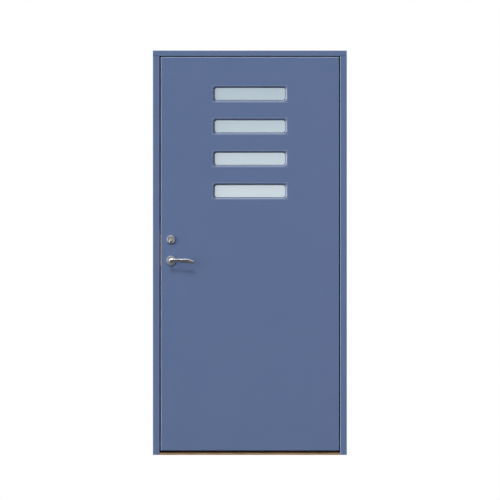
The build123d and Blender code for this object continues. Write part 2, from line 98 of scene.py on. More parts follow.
def moved(tree, noise, amount, middle):
    """The middle value, moved up and down by noise, by the amount from end to end."""
    swing = reckon(tree, "SUBTRACT", noise, noise_middle)
    return reckon(tree, "MULTIPLY_ADD", swing, amount, middle)


def shaded(tree, colour, value):
    """A colour with its value multiplied."""
    return add(tree, "ShaderNodeHueSaturation", {"Value": value, "Color": colour}).outputs["Color"]


surface = {"Color": "Color", "Roughness": "Float", "Height": "Float"}
gloss_patchiness = 0.16


def sprayed_finish():
    """Spray paint: broad cloudiness in the colour, orange peel as height, patchy gloss.

    Colour is the paint with its value moved by slow noise; height is fine noise at the
    peel's size; roughness is the middle value moved by noise of a hand's width."""
    tree, takes, gives = start_group(
        "sprayed_finish",
        {
            "Vector": "Vector",
            "Paint": "Color",
            "Cloudiness": "Float",
            "Peel Scale": "Float",
            "Gloss Middle": "Float",
        },
        surface,
    )
    cloud = speckle(tree, takes["Vector"], scale=2.3, detail=4.0, roughness=0.6)
    patch = speckle(tree, takes["Vector"], scale=11.0, detail=3.0)
    feed(tree, gives, {
        "Color": shaded(tree, takes["Paint"], moved(tree, cloud, takes["Cloudiness"], 1.0)),
        "Roughness": moved(tree, patch, gloss_patchiness, takes["Gloss Middle"]),
        "Height": speckle(tree, takes["Vector"], takes["Peel Scale"], detail=2.0, roughness=0.45),
    })
    return tree


def reckon_vectors(tree, operation, *vectors):
    """What a Vector Math node makes of the vectors, as its Vector and Value outputs."""
    return add(tree, "ShaderNodeVectorMath", dict(enumerate(vectors)), operation=operation).outputs


def split(tree, vector):
    """The X, Y and Z of a vector."""
    return add(tree, "ShaderNodeSeparateXYZ", {"Vector": vector}).outputs


def ramp(tree, value, low, high, first=0.0, last=1.0, **settings):
    """A value that runs from first to last while the given one runs from low to high."""
    ends = {"Value": value, "From Min": low, "From Max": high, "To Min": first, "To Max": last}
    return add(tree, "ShaderNodeMapRange", ends, **settings).outputs[0]


def blend(tree, share, first, second):
    """A colour between two by the share. A Mix node takes its two colours in sockets 6
    and 7 and gives the mixed one in output 2."""
    values = {"Factor": share, 6: first, 7: second}
    return add(tree, "ShaderNodeMix", values, data_type="RGBA").outputs[2]


rub_and_highlight_full_depth = 0.0004
rub_and_highlight_gone_depth = 0.0010
rub_and_highlight_patch = (0.3, 0.62)
rub_and_highlight_least = 0.55


def rubbed_arris():
    """Paint worn pale along the front arris of a rectangle, which also paints a highlight on
    its rounding: the distance from the outline, seen from the front, gives a mask that is
    full on the outline and gone at the run. It is kept to the front, broken up by noise,
    and mixes the paint towards the pale colour of wear and painted highlight."""
    tree, takes, gives = start_group(
        "rubbed_arris",
        {
            "Vector": "Vector",
            "Paint": "Color",
            "Worn": "Color",
            "Middle": "Vector",
            "Half": "Vector",
            "Front": "Float",
            "Run": "Float",
        },
        {"Color": "Color"},
    )
    offset = reckon_vectors(tree, "SUBTRACT", takes["Vector"], takes["Middle"])["Vector"]
    folded = reckon_vectors(tree, "ABSOLUTE", offset)["Vector"]
    beyond = split(tree, reckon_vectors(tree, "SUBTRACT", folded, takes["Half"])["Vector"])
    distance = reckon(tree, "ABSOLUTE", reckon(tree, "MAXIMUM", beyond["X"], beyond["Z"]))
    on_arris = ramp(tree, distance, takes["Run"], 0.0, interpolation_type="SMOOTHSTEP")
    depth = reckon(tree, "SUBTRACT", split(tree, takes["Vector"])["Y"], takes["Front"])
    at_front = ramp(tree, depth, rub_and_highlight_gone_depth, rub_and_highlight_full_depth)
    patch = speckle(tree, takes["Vector"], scale=45.0, detail=4.0, roughness=0.65)
    uneven = ramp(tree, patch, *rub_and_highlight_patch, first=rub_and_highlight_least)
    # Painted highlight together with wear: the share of the pale colour mixed into the paint.
    worn_and_highlight_part = reckon(tree, "MULTIPLY", reckon(tree, "MULTIPLY", on_arris, at_front), uneven)
    feed(tree, gives, {"Color": blend(tree, worn_and_highlight_part, takes["Paint"], takes["Worn"])})
    return tree


def start_material(name):
    """A new material: itself, its tree, its shader's sockets and Object coordinates."""
    made = bpy.data.materials.new(name)
    made.use_nodes = True
    tree = made.node_tree
    place = add(tree, "ShaderNodeTexCoord", {}).outputs["Object"]
    return made, tree, tree.nodes["Principled BSDF"].inputs, place


def pressed(tree, height, strength, depth):
    """The normal of a surface that rises and falls with the height, by the depth."""
    values = {"Height": height, "Strength": strength, "Distance": depth}
    return add(tree, "ShaderNodeBump", values).outputs["Normal"]


spray_group = sprayed_finish()
arris_group = rubbed_arris()
worn_and_highlight_blue = (0.30, 0.37, 0.49)
arris_run = 0.0046
satin_sheen = 0.8
peel_strength = 0.35


def satin_paint(name, colour, cloudiness, peel_scale, gloss_middle, peel_height, arris=None):
    """Satin paint: the spray group drives colour, roughness and a shallow bump. An arris,
    given by the lowest and highest corner of its rectangle, is rubbed pale as wear and as
    a painted highlight."""
    made, tree, shader, place = start_material(name)
    spray = add(tree, "ShaderNodeGroup", {
        "Vector": place,
        "Paint": (*colour, 1.0),
        "Cloudiness": cloudiness,
        "Peel Scale": peel_scale,
        "Gloss Middle": gloss_middle,
    }, node_tree=spray_group).outputs
    painted = spray["Color"]
    # Painted highlight and wear: the arris is mixed towards the pale colour.
    if arris:
        low, high = (np.array(corner) for corner in arris)
        painted = add(tree, "ShaderNodeGroup", {
            "Vector": place,
            "Paint": painted,
            "Worn": (*worn_and_highlight_blue, 1.0),
            "Middle": (low + high) / 2,
            "Half": (high - low) / 2,
            "Front": low[1],
            "Run": arris_run,
        }, node_tree=arris_group).outputs["Color"]
    feed(tree, shader, {
        "Base Color": painted,
        "Roughness": spray["Roughness"],
        "Specular IOR Level": satin_sheen,
        "Normal": pressed(tree, spray["Height"], peel_strength, peel_height),
    })
    return made


def finish_nodes(names, material):
    """Gives CAD nodes a material, each in its one slot."""
    for name in names:
        frame["nodes"][name].data.materials[0] = material


# The doorway's rectangle goes as far below the floor as above it, so that its lower side
# gets no pale arris of wear and painted highlight.
blue_grey = (0.080, 0.130, 0.265)
post_low, post_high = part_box("lock_jamb")
doorway = (
    (post_high[0], post_low[1], -post_high[2]),
    (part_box("hinge_jamb")[0][0], 0.0, post_high[2]),
)
frame_paint = satin_paint(
    "frame_satin_paint",
    blue_grey,
    cloudiness=0.07,
    peel_scale=380.0,
    gloss_middle=0.42,
    peel_height=0.00012,
    arris=doorway,
)
finish_nodes(["lock_jamb", "hinge_jamb", "lock_stop", "hinge_stop", "frame_head"], frame_paint)


# Threshold: one length of oak with a low nose under the leaf, an upstand behind it
# and a sloped back, oiled. The grain runs along it; the strip under the leaf is
# darkened as painted shade from the leaf.
oak_early = (0.35, 0.22, 0.115)
oak_late = (0.25, 0.145, 0.068)
oak_pore = (0.13, 0.075, 0.035)
oak_pore_share = (0.58, 0.7)
oak_pore_depth = 0.0004
oak_gloss = 0.42
oak_pore_gloss = 0.62
oak_sheen = 0.25
painted_shade_darkness = 0.08
painted_shade_from_z = 0.0085
painted_shade_full_z = 0.0118
painted_shade_back_y = 0.012
painted_shade_fade = 0.004


def stretched(tree, place, scale):
    """The place multiplied by a scale for each axis, so that a pattern runs along one."""
    return add(tree, "ShaderNodeMapping", {"Vector": place, "Scale": scale}).outputs[0]


def wood_grain():
    """Grain along X: rings are a wave across the board bent by noise stretched along it;
    pores are short dark dashes of finer stretched noise."""
    tree, takes, gives = start_group(
        "wood_grain",
        {"Vector": "Vector", "Early Wood": "Color", "Late Wood": "Color", "Pore": "Color"},
        surface,
    )
    rings = add(
        tree,
        "ShaderNodeTexWave",
        {
            "Vector": stretched(tree, takes["Vector"], (1.6, 22.0, 22.0)),
            "Scale": 2.2,
            "Distortion": 7.0,
            "Detail": 3.0,
            "Detail Scale": 1.4,
        },
        wave_type="BANDS",
        bands_direction="DIAGONAL",
    ).outputs["Fac"]
    dash_place = stretched(tree, takes["Vector"], (26.0, 900.0, 900.0))
    dashes = ramp(tree, speckle(tree, dash_place, scale=1.0, detail=2.0), *oak_pore_share)
    board = blend(tree, rings, takes["Early Wood"], takes["Late Wood"])
    feed(tree, gives, {
        "Color": blend(tree, dashes, board, takes["Pore"]),
        "Roughness": ramp(tree, dashes, 0.0, 1.0, oak_gloss, oak_pore_gloss),
        "Height": reckon(tree, "SUBTRACT", 1.0, dashes),
    })
    return tree


oiled_oak, tree, shader, place = start_material("oiled_oak")
grain = add(tree, "ShaderNodeGroup", {
    "Vector": place,
    "Early Wood": (*oak_early, 1.0),
    "Late Wood": (*oak_late, 1.0),
    "Pore": (*oak_pore, 1.0),
}, node_tree=wood_grain()).outputs
# Painted shade: the top of the oak under the leaf, where the leaf shades it, is darkened almost to
# black.
above = ramp(tree, split(tree, place)["Z"], painted_shade_from_z, painted_shade_full_z)
before = ramp(tree, split(tree, place)["Y"], painted_shade_back_y + painted_shade_fade, painted_shade_back_y)
painted_shade_mask = reckon(tree, "MULTIPLY", above, before)
painted_shade_oak = shaded(tree, grain["Color"], painted_shade_darkness)
feed(tree, shader, {
    "Base Color": blend(tree, painted_shade_mask, grain["Color"], painted_shade_oak),
    "Roughness": grain["Roughness"],
    "Specular IOR Level": oak_sheen,
    "Normal": pressed(tree, grain["Height"], strength=0.5, depth=oak_pore_depth),
})
finish_nodes(["threshold"], oiled_oak)


# Seals: black rubber strips pressed into the corner of the stops. Each has a flat
# foot on the stop and two soft lips that meet the closed leaf.
lip_points = 33
lip_fullness = 0.6
lip_valley = 0.45
lip_rim = 0.25
rubber_dark = (0.008, 0.008, 0.009)
rubber_bloom = (0.022, 0.022, 0.024)
rubber_gloss = (0.5, 0.78)
rubber_sheen = 0.35
x_way, y_way, z_way = np.eye(3)


def skin(name, grids, material, body):
    """One object from grids of points. Row i joins row i + 1 and each row closes on itself,
    so a grid is a tube; rows that shrink to one point close it. Doubles are merged."""
    corners, faces, first = [], [], 0
    for grid in grids:
        rows, around = grid.shape[:2]
        number = np.arange(rows * around).reshape(rows, around) + first
        turned = np.roll(number, -1, axis=1)
        quads = np.stack([number[:-1], turned[:-1], turned[1:], number[1:]], axis=-1)
        corners.append(grid.reshape(-1, 3))
        faces.append(quads.reshape(-1, 4))
        first += rows * around
    mesh = bpy.data.meshes.new(name)
    mesh.from_pydata(np.concatenate(corners).tolist(), [], np.concatenate(faces).tolist())
    work = bmesh.new()
    work.from_mesh(mesh)
    bmesh.ops.remove_doubles(work, verts=work.verts, dist=1e-6)
    bmesh.ops.recalc_face_normals(work, faces=work.faces)
    work.to_mesh(mesh)
    work.free()
    mesh.materials.append(material)
    made = bpy.data.objects.new(name, mesh)
    bpy.context.scene.collection.objects.link(made)
    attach(made, body)
    return made


def smooth(made, angle=math.radians(40)):
    """Smooth shading, with edges sharper than the angle kept sharp."""
    mesh = made.data
    mesh.polygons.foreach_set("use_smooth", np.ones(len(mesh.polygons), dtype=bool))
    mesh.set_sharp_from_angle(angle=angle)
    return made


def lipped_section(width, depth):
    """Closed outline of the strip: a flat foot, and towards the leaf two half-sine lips
    that rise from the valley's share of the depth to the full depth. Across is 0 to width,
    up is 0 to depth, and the two rims are lower still."""
    across = np.linspace(0.0, 1.0, lip_points)
    lips = np.abs(np.sin(2 * np.pi * across)) ** lip_fullness
    rise = depth * (lip_valley + (1.0 - lip_valley) * lips)
    rise[[0, -1]] = depth * lip_rim
    top = np.stack([across * width, rise], axis=-1)
    foot = np.array([[width, 0.0], [0.0, 0.0]])
    return np.concatenate([top, foot])


def seal_strip(section, start, run, across, up):
    """The section carried straight along run; the two end rows shrink to their middle."""
    places = np.array([0.0, 0.0, 1.0, 1.0])
    sizes = np.array([0.0, 1.0, 1.0, 0.0])
    middle = section.mean(axis=0)
    flat = middle + sizes[:, None, None] * (section[None] - middle)
    return (
        start
        + places[:, None, None] * run
        + flat[..., :1] * across
        + flat[..., 1:] * up
    )


black_rubber, tree, shader, place = start_material("black_rubber")
bloom = speckle(tree, place, scale=35.0, detail=5.0)
skin_grain = speckle(tree, place, scale=900.0, detail=2.0)
feed(tree, shader, {
    "Base Color": blend(tree, bloom, (*rubber_dark, 1.0), (*rubber_bloom, 1.0)),
    "Roughness": ramp(tree, bloom, 0.0, 1.0, *rubber_gloss),
    "Specular IOR Level": rubber_sheen,
    "Normal": pressed(tree, skin_grain, strength=0.4, depth=0.0002),
})
for seal_node, runs_along, lips_across in (
    ("lock_jamb_seal", z_way, x_way),
    ("hinge_jamb_seal", z_way, x_way),
    ("head_seal", x_way, z_way),
    ("threshold_seal", x_way, z_way),
):
    low, high = (np.array(corner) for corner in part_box(seal_node))
    size = high - low
    section = lipped_section(size @ lips_across, size[1])
    foot_start = np.array([low[0], high[1], low[2]])
    grid = seal_strip(section, foot_start, size * runs_along, lips_across, -y_way)
    strip = skin(seal_node + "_lips", [grid], black_rubber, "frame")
    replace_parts(smooth(strip), seal_node)


# Concealed hinges: die-cast cups let into the jamb and the leaf's edge, two crossed
# arms in each on steel pins, all in dull zinc, and four countersunk screws in each cup.
metal_strength = 0.3
cup_half = 0.055
hinge_screw_rise = 0.0525
hinge_screw_inset = 0.014
hinge_screw_radius = 0.0019
screw_rings = np.concatenate([[0.0], np.linspace(0.08, 1.0, 16), [1.0]])[:, None]
screw_corners = 48
screw_dome = 0.0003
screw_wall = 0.00075
cross_half = 0.2
cross_slope = 0.06
cross_reach = 0.68
cross_end = 0.08
cross_depth = 0.00048


def worn_metal():
    """Metal surface: streaks or casting grain as noise on the given coordinates move the
    colour, the roughness and a shallow height together."""
    tree, takes, gives = start_group(
        "worn_metal",
        {
            "Vector": "Vector",
            "Metal": "Color",
            "Streak": "Float",
            "Gloss Middle": "Float",
            "Gloss Swing": "Float",
        },
        surface,
    )
    streaks = speckle(tree, takes["Vector"], scale=1.0, detail=4.0, roughness=0.65)
    feed(tree, gives, {
        "Color": shaded(tree, takes["Metal"], moved(tree, streaks, takes["Streak"], 1.0)),
        "Roughness": moved(tree, streaks, takes["Gloss Swing"], takes["Gloss Middle"]),
        "Height": streaks,
    })
    return tree


metal_group = worn_metal()


def bare_metal(name, colour, grain, streak, gloss, gloss_swing, depth, metallic=1.0):
    """Metal finish: the metal group on Object coordinates, stretched by the grain."""
    made, tree, shader, place = start_material(name)
    metal = add(tree, "ShaderNodeGroup", {
        "Vector": stretched(tree, place, grain),
        "Metal": (*colour, 1.0),
        "Streak": streak,
        "Gloss Middle": gloss,
        "Gloss Swing": gloss_swing,
    }, node_tree=metal_group).outputs
    feed(tree, shader, {
        "Base Color": metal["Color"],
        "Roughness": metal["Roughness"],
        "Metallic": metallic,
        "Normal": pressed(tree, metal["Height"], metal_strength, depth),
    })
    return made


def round_ways(count):
    """Directions spread evenly round a circle, as cosine and sine."""
    angle = np.linspace(0.0, 2 * np.pi, count, endpoint=False)
    return np.stack([np.cos(angle), np.sin(angle)], axis=-1)


def screw_head(middle, way, radius):
    """A countersunk head that faces along X: a shallow dome over rings and angles, with a
    cross pressed into it. Height is the dome minus a smooth step where the point lies
    within the slot's half width of either axis and inside two thirds of the radius."""
    across, along = np.moveaxis(screw_rings[..., None] * round_ways(screw_corners), -1, 0)
    slot = np.minimum(np.abs(across), np.abs(along))
    within = np.clip((cross_half - slot) / cross_slope, 0.0, 1.0)
    inside = np.clip((cross_reach - screw_rings) / cross_end, 0.0, 1.0)
    height = screw_dome * (1.0 - screw_rings**2) - cross_depth * within * inside
    height[-1] = -screw_wall
    grid = (
        middle
        + radius * across[..., None] * y_way
        + radius * along[..., None] * z_way
        + height[..., None] * way * x_way
    )
    floor_row = np.broadcast_to(middle - screw_wall * way * x_way, grid[:1].shape)
    return np.concatenate([grid, floor_row])


zinc = bare_metal(
    "cast_zinc",
    colour=(0.42, 0.43, 0.45),
    grain=(160.0, 160.0, 160.0),
    streak=0.22,
    gloss=0.42,
    gloss_swing=0.2,
    depth=0.00015,
)
screw_steel = bare_metal(
    "bright_screw",
    colour=(0.55, 0.55, 0.54),
    grain=(300.0, 300.0, 300.0),
    streak=0.2,
    gloss=0.3,
    gloss_swing=0.15,
    depth=0.00005,
)
finish_nodes(["hinge_frame_cups", "hinge_leaf_cups", "hinge_frame_links", "hinge_leaf_links"], zinc)
for screw_name, cup_node, body, way in (
    ("hinge_frame_screws", "hinge_frame_cups", "frame", -1.0),
    ("hinge_leaf_screws", "hinge_leaf_cups", "leaf", 1.0),
):
    low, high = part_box(cup_node)
    face_x = low[0] if way < 0 else high[0]
    heads = [
        screw_head(np.array([face_x, y, z + rise]), way, hinge_screw_radius)
        for z in (low[2] + cup_half, (low[2] + high[2]) / 2, high[2] - cup_half)
        for rise in (-hinge_screw_rise, hinge_screw_rise)
        for y in (low[1] + hinge_screw_inset, high[1] - hinge_screw_inset)
    ]
    smooth(skin(screw_name, heads, screw_steel, body))


# Leaf: thin boards on both faces of a frame of stiles and rails round a foam core,
# pressed together and sprayed like the frame. The outer board is rounded at its rim
# and rubbed pale there, apart from its lower edge, as wear and as a painted highlight.
leaf_low, leaf_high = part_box("outer_facing")
leaf_rim = ((leaf_low[0], leaf_low[1], -leaf_high[2]), leaf_high)
foam_wall = (0.8, 0.76, 0.62)
foam_cell = (0.68, 0.63, 0.48)
foam_gloss = 0.9
leaf_paint = satin_paint(
    "leaf_satin_paint",
    blue_grey,
    cloudiness=0.05,
    peel_scale=430.0,
    gloss_middle=0.4,
    peel_height=0.0001,
    arris=leaf_rim,
)
finish_nodes(
    ["outer_facing", "inner_facing", "lock_stile", "hinge_stile", "top_rail", "bottom_rail"],
    leaf_paint,
)
foam, tree, shader, place = start_material("rigid_foam")
cells = add(tree, "ShaderNodeTexVoronoi", {"Vector": place, "Scale": 700.0}).outputs["Distance"]
feed(tree, shader, {
    "Base Color": blend(tree, cells, (*foam_wall, 1.0), (*foam_cell, 1.0)),
    "Roughness": foam_gloss,
})
finish_nodes(["insulation_core"], foam)


# Windows: a bevelled trim let into each face, moulded and a little glossier than the
# leaf, and a sealed unit of three satin panes on dull aluminium spacers, with a rubber
# bead round the glass. The etched glass is painted paler downwards, a painted reflection.
window_numbers = range(1, 5)
trim_blue = (0.066, 0.115, 0.248)
trim_sheen = 0.9
trim_index = 1.78
pane_top_painted_reflection = (0.60, 0.72, 0.80)
pane_bottom_painted_reflection = (0.80, 0.89, 0.965)
painted_reflection_low_z = 1.32
painted_reflection_high_z = 1.885
pane_gloss = (0.38, 0.52)
pane_clearness = 0.3
glass_index = 1.5
sight_half = np.array([0.1815, 0.032])

trim_paint = satin_paint(
    "trim_gloss_paint",
    trim_blue,
    cloudiness=0.05,
    peel_scale=430.0,
    gloss_middle=0.3,
    peel_height=0.00006,
)
trim_shader = trim_paint.node_tree.nodes["Principled BSDF"].inputs
trim_shader["Specular IOR Level"].default_value = trim_sheen
trim_shader["IOR"].default_value = trim_index
finish_nodes([f"window_{i}_trims" for i in window_numbers], trim_paint)

satin_glass, tree, shader, place = start_material("satin_glass")
etching = speckle(tree, place, scale=1400.0, detail=2.0)
# Painted reflection: the glass colour runs from pale at the bottom to darker at the top.
painted_reflection_share = ramp(tree, split(tree, place)["Z"], painted_reflection_low_z, painted_reflection_high_z)
feed(tree, shader, {
    "Base Color": blend(tree, painted_reflection_share, (*pane_bottom_painted_reflection, 1.0), (*pane_top_painted_reflection, 1.0)),
    "Roughness": ramp(tree, etching, 0.0, 1.0, *pane_gloss),
    "Metallic": 0.0,
    "Transmission Weight": pane_clearness,
    "IOR": glass_index,
    "Normal": pressed(tree, etching, strength=0.25, depth=0.00005),
})
finish_nodes([f"window_{i}_glass" for i in window_numbers], satin_glass)


def rounded_loop(half_x, half_z, radius, steps=10):
    """Corner points of a rectangle, each swept by a quarter circle of the radius."""
    turn = np.linspace(0.0, np.pi / 2, steps)
    angle = (turn + np.arange(4)[:, None] * np.pi / 2).ravel()
    corner = np.repeat([(1, 1), (-1, 1), (-1, -1), (1, -1)], steps, axis=0)
    core = corner * np.array([half_x - radius, half_z - radius])
    return core + radius * np.stack([np.cos(angle), np.sin(angle)], axis=-1)


# Each row of the bead: how far in from the sight's edge, how far off the glass, and the
# radius of the corners.
bead_rows = np.array([
    (-0.0009, 0.0010, 0.0099),
    (0.0002, 0.0013, 0.0108),
    (0.0009, 0.0008, 0.0116),
    (0.0010, 0.0, 0.0118),
    (-0.0009, 0.0, 0.0099),
])


def glazing_bead(middle, glass_y, out):
    """A bead round the glass: each row is the sight's outline, set in, raised and rounded
    as the row says; the last row meets the first."""
    rows = np.concatenate([bead_rows, bead_rows[:1]])
    loops = np.stack([rounded_loop(*(sight_half - inset), radius) for inset, _, radius in rows])
    y = np.broadcast_to(glass_y + out * rows[:, 1, None], loops.shape[:2])
    return np.stack([middle[0] + loops[..., 0], y, middle[2] + loops[..., 1]], axis=-1)


for i in window_numbers:
    low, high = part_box(f"window_{i}_glass")
    middle = (low + high) / 2
    beads = [glazing_bead(middle, low[1], -1.0), glazing_bead(middle, high[1], 1.0)]
    smooth(skin(f"window_{i}_beads", beads, black_rubber, "leaf"))
spacer_bar = bare_metal(
    "spacer_bar",
    colour=(0.3, 0.31, 0.32),
    grain=(40.0, 600.0, 600.0),
    streak=0.2,
    gloss=0.5,
    gloss_swing=0.2,
    depth=0.0001,
)
finish_nodes(["glass_spacers"], spacer_bar)


# Lock edge: a zinc-plated angle over the leaf's corner, the latch and the dead bolt
# behind it, and the strike let into the jamb, each plate held by two screws.
plated = bare_metal(
    "zinc_plated_steel",
    colour=(0.33, 0.36, 0.46),
    grain=(700.0, 700.0, 90.0),
    streak=0.1,
    gloss=0.46,
    gloss_swing=0.08,
    depth=0.00003,
)
bolt_steel = bare_metal(
    "nickel_bolt",
    colour=(0.58, 0.585, 0.6),
    grain=(20.0, 400.0, 400.0),
    streak=0.1,
    gloss=0.32,
    gloss_swing=0.08,
    depth=0.00001,
)
finish_nodes(["lock_edge_plate", "strike_plate", "spindle"], plated)
finish_nodes(["latch_bolt", "dead_bolt"], bolt_steel)
plate_screw_radius = 0.0036
latch_low, latch_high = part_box("latch_bolt")
bolt_line = (latch_low[1] + latch_high[1]) / 2
for plate_node, body, way, sink, end_inset in (
    ("lock_edge_plate", "leaf", -1.0, 0.0001, 0.011),
    ("strike_plate", "frame", 1.0, 0.0, 0.013),
):
    low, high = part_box(plate_node)
    face_x = (low[0] if way < 0 else high[0]) - way * sink
    heads = [
        screw_head(np.array([face_x, bolt_line, z]), way, plate_screw_radius)
        for z in (low[2] + end_inset, high[2] - end_inset)
    ]
    smooth(skin(plate_node + "_screws", heads, screw_steel, body))


# Levers: cast and turned handles in satin nickel, one on each side. The grip is round at
# the root, runs level and droops to a thin tip; the neck turns in the rose.
leaf_front = leaf_low[1]
leaf_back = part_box("inner_facing")[1][1]
joints = {joint["name"]: joint for joint in frame["record"]["behaviour"]["joints"]}
lever_axis_x, _, lever_axis_z = joints["lever_turn"]["pos_m"]
lever_reach = 0.050
neck_radius = 0.0085
grip_steps = 120
grip_corners = 48
grip_squareness = 3.3

# Each row of the grip in millimetres from the turning line: along, upper edge, lower
# edge, half depth, and how far the upper edge leans out.
grip_rows = np.array([
    (-10.8, 0.4, 0.2, 0.0, 0.0),
    (-10.0, 4.0, -3.2, 3.2, 0.0),
    (-7.8, 6.9, -6.0, 4.8, 0.2),
    (-4.0, 8.9, -7.6, 5.4, 0.6),
    (2.0, 9.8, -8.2, 5.2, 1.2),
    (9.0, 9.6, -7.8, 5.0, 1.8),
    (17.0, 8.8, -7.2, 4.6, 2.3),
    (28.0, 8.3, -6.7, 4.2, 2.6),
    (42.0, 8.2, -7.0, 4.0, 2.8),
    (56.0, 8.4, -10.2, 4.0, 3.0),
    (70.0, 8.5, -12.6, 3.9, 3.2),
    (84.0, 8.4, -13.6, 3.8, 2.4),
    (93.0, 6.9, -13.9, 3.7, 1.6),
    (101.0, 4.2, -13.9, 3.5, 1.0),
    (110.0, 0.6, -13.7, 3.0, 0.6),
    (116.0, -2.4, -12.9, 2.4, 0.4),
    (119.6, -5.2, -11.4, 1.5, 0.2),
    (121.0, -8.4, -8.8, 0.0, 0.0),
]) / 1000

# Each row of the neck: its share of the neck's radius, and millimetres from the leaf.
neck_rows = np.array([
    (0.0, 1.0),
    (1.0, 1.0),
    (1.0, 30.0),
    (1.03, 38.0),
    (0.98, 46.0),
    (0.6, 53.0),
    (0.0, 54.0),
]) * (neck_radius, 0.001)


def through(rows, count):
    """A smooth line through the rows: cubic pieces whose slopes are half the difference of
    the neighbours on either side, read at evenly spaced places along the row numbers."""
    padded = np.concatenate([2 * rows[:1] - rows[1:2], rows, 2 * rows[-1:] - rows[-2:-1]])
    slope = (padded[2:] - padded[:-2]) / 2
    place = np.linspace(0.0, len(rows) - 1, count)
    piece = np.minimum(place.astype(int), len(rows) - 2)
    t = (place - piece)[:, None]
    return (
        (2 * t**3 - 3 * t**2 + 1) * rows[piece]
        + (t**3 - 2 * t**2 + t) * slope[piece]
        + (3 * t**2 - 2 * t**3) * rows[piece + 1]
        + (t**3 - t**2) * slope[piece + 1]
    )


def squared(way, squareness):
    """A superellipse: cosine and sine, each to the power two over the squareness, with its
    sign kept."""
    return np.sign(way) * np.abs(way) ** (2.0 / squareness)


def grip_surface(bar_y, out):
    """Cross-sections of the smooth line through the rows. Each is a superellipse between
    the upper and lower edge, depth across and height up; the upper edge leans out and the
    lower edge in."""
    along, upper, lower, deep, lean = through(grip_rows, grip_steps).T[..., None]
    wide, tall = squared(round_ways(grip_corners), grip_squareness).T
    half = np.maximum((upper - lower) / 2, 0.0)
    half[[0, -1]] = 0.0
    across = np.maximum(deep, 0.0) * wide + lean * tall
    up = (upper + lower) / 2 + half * tall
    return np.stack([
        np.broadcast_to(lever_axis_x + along, up.shape),
        bar_y + out * across,
        lever_axis_z + up,
    ], axis=-1)


def spun(profile, middle_x, middle_z, count=64):
    """A profile of radius and Y carried round the line along Y through the given point."""
    radius, y = np.asarray(profile).T[..., None]
    wide, tall = round_ways(count).T
    return np.stack([
        middle_x + radius * wide,
        np.broadcast_to(y, (len(y), count)),
        middle_z + radius * tall,
    ], axis=-1)


satin_nickel = bare_metal(
    "satin_nickel",
    colour=(0.67, 0.672, 0.715),
    grain=(60.0, 420.0, 420.0),
    streak=0.1,
    gloss=0.25,
    gloss_swing=0.06,
    depth=0.00001,
)
for side, face_y, out in (("outer", leaf_front, -1.0), ("inner", leaf_back, 1.0)):
    neck_line = neck_rows * (1.0, out) + (0.0, face_y)
    handle = skin(
        f"{side}_lever_handle",
        [
            grip_surface(face_y + out * lever_reach, out),
            spun(neck_line, lever_axis_x, lever_axis_z),
        ],
        satin_nickel,
        "levers",
    )
    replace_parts(smooth(handle), f"{side}_lever")


# Roses: turned discs of satin nickel pressed over fixing plates, with a rounded edge
# and a shallow groove round the lever's neck; outside, a cone rings the lock cylinder.
# The lever roses are matter and a little darker than the cone.
rose_radius = 0.0242
rose_thickness = 0.009
rose_edge = 0.0016
rose_corners = 96
groove_outer = 0.0125
groove_depth = 0.0004
neck_bore = 0.0086
turn_low, turn_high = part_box("thumb_turn")
cylinder_z = (turn_low[2] + turn_high[2]) / 2
ring_radius = 0.023
ring_top_radius = 0.0205
ring_height = 0.011
ring_edge = 0.0017
ring_edge_steps = 7
ring_lip = 0.0018
ring_dish_run = 0.0022
ring_dish = 0.0005
ring_corners = 120
oval_middles = np.array([[0.0, 0.0055], [0.0, -0.0095]])
oval_radius = 0.0095


def rounded_edge(radius, low_y, high_y, edge, out, steps=8):
    """Points from the foot of a disc up its wall and over a quarter circle onto its face."""
    turn = np.linspace(0.0, np.pi / 2, steps)
    arc = np.stack([
        radius - edge + edge * np.cos(turn),
        high_y - out * edge + out * edge * np.sin(turn),
    ], axis=-1)
    return np.concatenate([[(radius, low_y)], arc])


def lever_rose(face_y, out):
    """Closed profile of a rose: wall, rounded edge, face, groove and bore, spun round."""
    top = face_y + out * rose_thickness
    outer = rounded_edge(rose_radius, face_y, top, rose_edge, out)
    inner = np.array([
        (groove_outer, top),
        (groove_outer - groove_depth, top - out * groove_depth),
        (neck_bore, top - out * groove_depth),
        (neck_bore, face_y),
        (rose_radius, face_y),
    ])
    return spun(np.concatenate([outer, inner]), lever_axis_x, lever_axis_z, rose_corners)


def cylinder_oval(way, inset=0.0):
    """Outline of the lock cylinder by the direction it faces: of two circles, the one whose
    middle lies further that way gives the point, set in by the inset."""
    first = np.argmax(way @ oval_middles.T + oval_radius, axis=1)
    return oval_middles[first] + (oval_radius - inset) * way


def on_face(flat, y):
    """Points across the cylinder's face at the given Y."""
    return np.stack([
        lever_axis_x + flat[:, 0],
        np.full(len(flat), y),
        cylinder_z + flat[:, 1],
    ], axis=-1)


def cylinder_cone():
    """The ring: outside a cone with a rounded edge, then a lip, a dish that runs in to a
    circle or to the opening's outline where that reaches further, and the opening's wall."""
    circle = round_ways(ring_corners)
    opening = cylinder_oval(circle)
    dish_circle = ring_top_radius - ring_lip - ring_dish_run
    dish_reach = np.maximum(dish_circle, np.linalg.norm(opening, axis=-1))
    top = leaf_front - ring_height
    profile = rounded_edge(ring_top_radius, leaf_front, top, ring_edge, -1.0, ring_edge_steps)
    foot = on_face(ring_radius * circle, leaf_front)
    edge = [on_face(radius * circle, y) for radius, y in profile[1:]]
    face = [
        on_face((ring_top_radius - ring_lip) * circle, top),
        on_face(dish_reach[:, None] * circle, top + ring_dish),
        on_face(opening, top + ring_dish),
        on_face(opening, leaf_front),
    ]
    return np.stack([foot, *edge, *face, foot])


